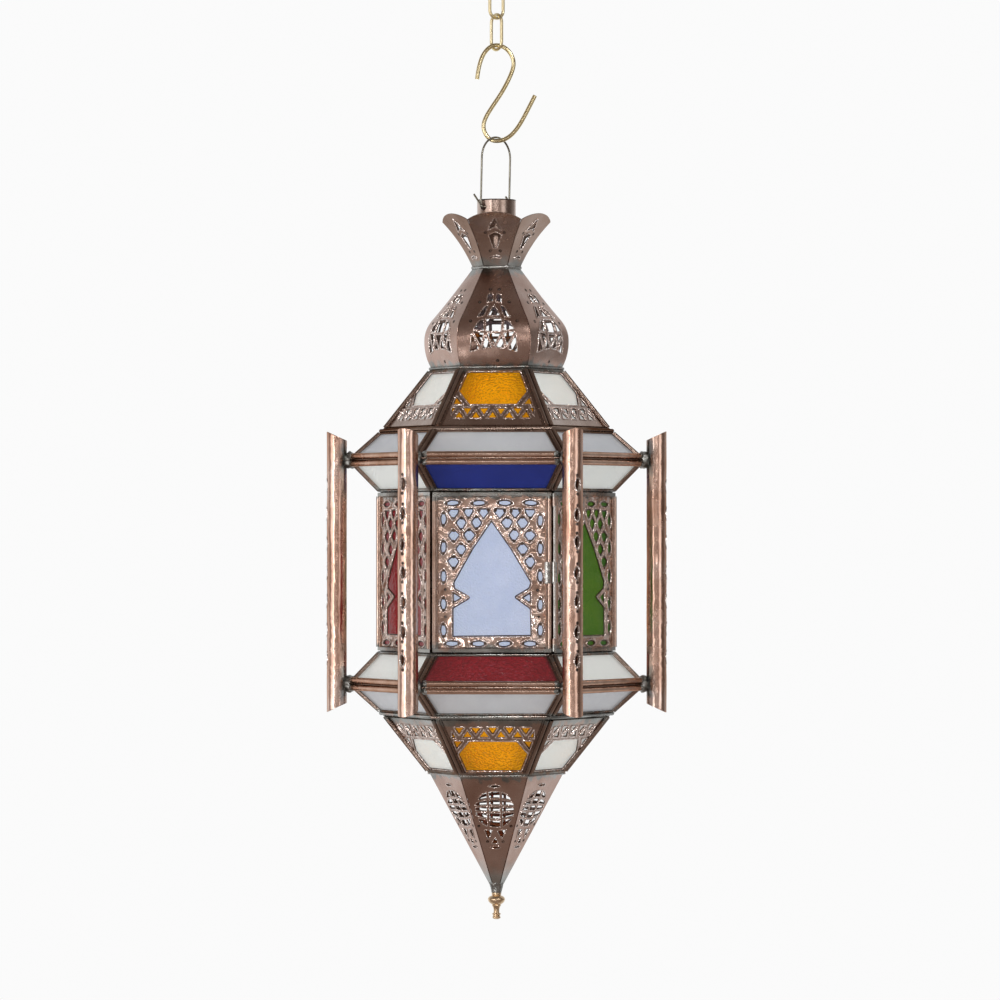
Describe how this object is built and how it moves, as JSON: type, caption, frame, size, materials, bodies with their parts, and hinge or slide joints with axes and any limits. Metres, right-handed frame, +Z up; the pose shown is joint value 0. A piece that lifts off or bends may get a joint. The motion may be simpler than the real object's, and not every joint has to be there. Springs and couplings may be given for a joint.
{
  "type": "hanging lantern",
  "caption": "Six-sided hanging candle lantern of pierced copper sheet and coloured glass with corner columns, hinged door, dome, bail, S-hook and chain links",
  "frame": {"origin": "inside top of the upper chain link, where the lantern hangs from whatever holds it", "axes": "+Z up along the hanging line, -Y the way the door faces, +X to the right seen from the door side"},
  "size_m": [0.221, 0.1932, 0.6096],
  "materials": {
    "copper": "copper-plated sheet, dark and uneven, brushed",
    "brass": "bare brass",
    "steel_wire": "dull galvanised wire",
    "solder": "rough grey solder",
    "glass_amber": "hammered amber glass",
    "glass_white": "frosted white glass",
    "glass_red": "red glass",
    "glass_blue": "blue glass",
    "glass_green": "green glass",
    "glass_pale_blue": "frosted pale blue glass"
  },
  "bodies": {
    "top_link": {"chain_link_upper": "brass"},
    "low_link": {"chain_link_lower": "brass"},
    "hook": {"s_hook": "brass"},
    "bail": {"bail_wire": "steel_wire"},
    "lantern": {"base_frames": "copper", "base_glass_amber": "glass_amber", "base_glass_white": "glass_white", "base_screens": "copper", "candle_cup": "copper", "collar_tube": "copper", "columns": "copper", "cone_gores": "copper", "corner_posts": "copper", "crown_petals": "copper", "dome_gores": "copper", "drum_frame_back": "copper", "drum_frame_back_left": "copper", "drum_frame_back_right": "copper", "drum_frame_front_left": "copper", "drum_frame_front_right": "copper", "drum_glass_back": "glass_blue", "drum_glass_back_left": "glass_green", "drum_glass_back_right": "glass_amber", "drum_glass_front_left": "glass_red", "drum_glass_front_right": "glass_green", "drum_screen_back": "copper", "drum_screen_back_left": "copper", "drum_screen_back_right": "copper", "drum_screen_front_left": "copper", "drum_screen_front_right": "copper", "eave_frames": "copper", "eave_glass": "glass_white", "finial": "brass", "floor_tray": "copper", "hinge_brackets": "copper", "hinge_rod": "steel_wire", "lower_rails": "copper", "lower_solder": "solder", "roof_frames": "copper", "roof_glass_amber": "glass_amber", "roof_glass_white": "glass_white", "roof_screens": "copper", "sill_frames": "copper", "sill_glass_red": "glass_red", "sill_glass_white": "glass_white", "skirt_frames": "copper", "skirt_glass": "glass_white", "soffit_frames": "copper", "soffit_glass_blue": "glass_blue", "soffit_glass_white": "glass_white", "tip_solder": "solder", "upper_rails": "copper", "upper_solder": "solder"},
    "door": {"door_frame": "copper", "door_screen": "copper", "door_glass": "glass_pale_blue", "door_knuckle": "copper"}
  },
  "joints": [
    {"name": "link_swing", "type": "hinge", "parent": "top_link", "child": "low_link", "pos_m": [0, 0, -0.02185], "axis": [0.766, 0.6428, 0], "range_deg": [-60, 60]},
    {"name": "hook_swing", "type": "hinge", "parent": "low_link", "child": "hook", "pos_m": [0, 0, -0.04235], "axis": [0.6428, -0.766, 0], "range_deg": [-30, 30]},
    {"name": "bail_swing", "type": "hinge", "parent": "hook", "child": "bail", "pos_m": [0, 0, -0.1017], "axis": [1, 0, 0], "range_deg": [-45, 45]},
    {"name": "lantern_swing", "type": "hinge", "parent": "bail", "child": "lantern", "pos_m": [0, 0, -0.14535], "axis": [0.6428, 0.766, 0], "range_deg": [-60, 60]},
    {"name": "door_hinge", "type": "hinge", "parent": "lantern", "child": "door", "pos_m": [0.0399, -0.06911, -0.38175], "axis": [0, 0, 1], "range_deg": [0, 100]}
  ]
}
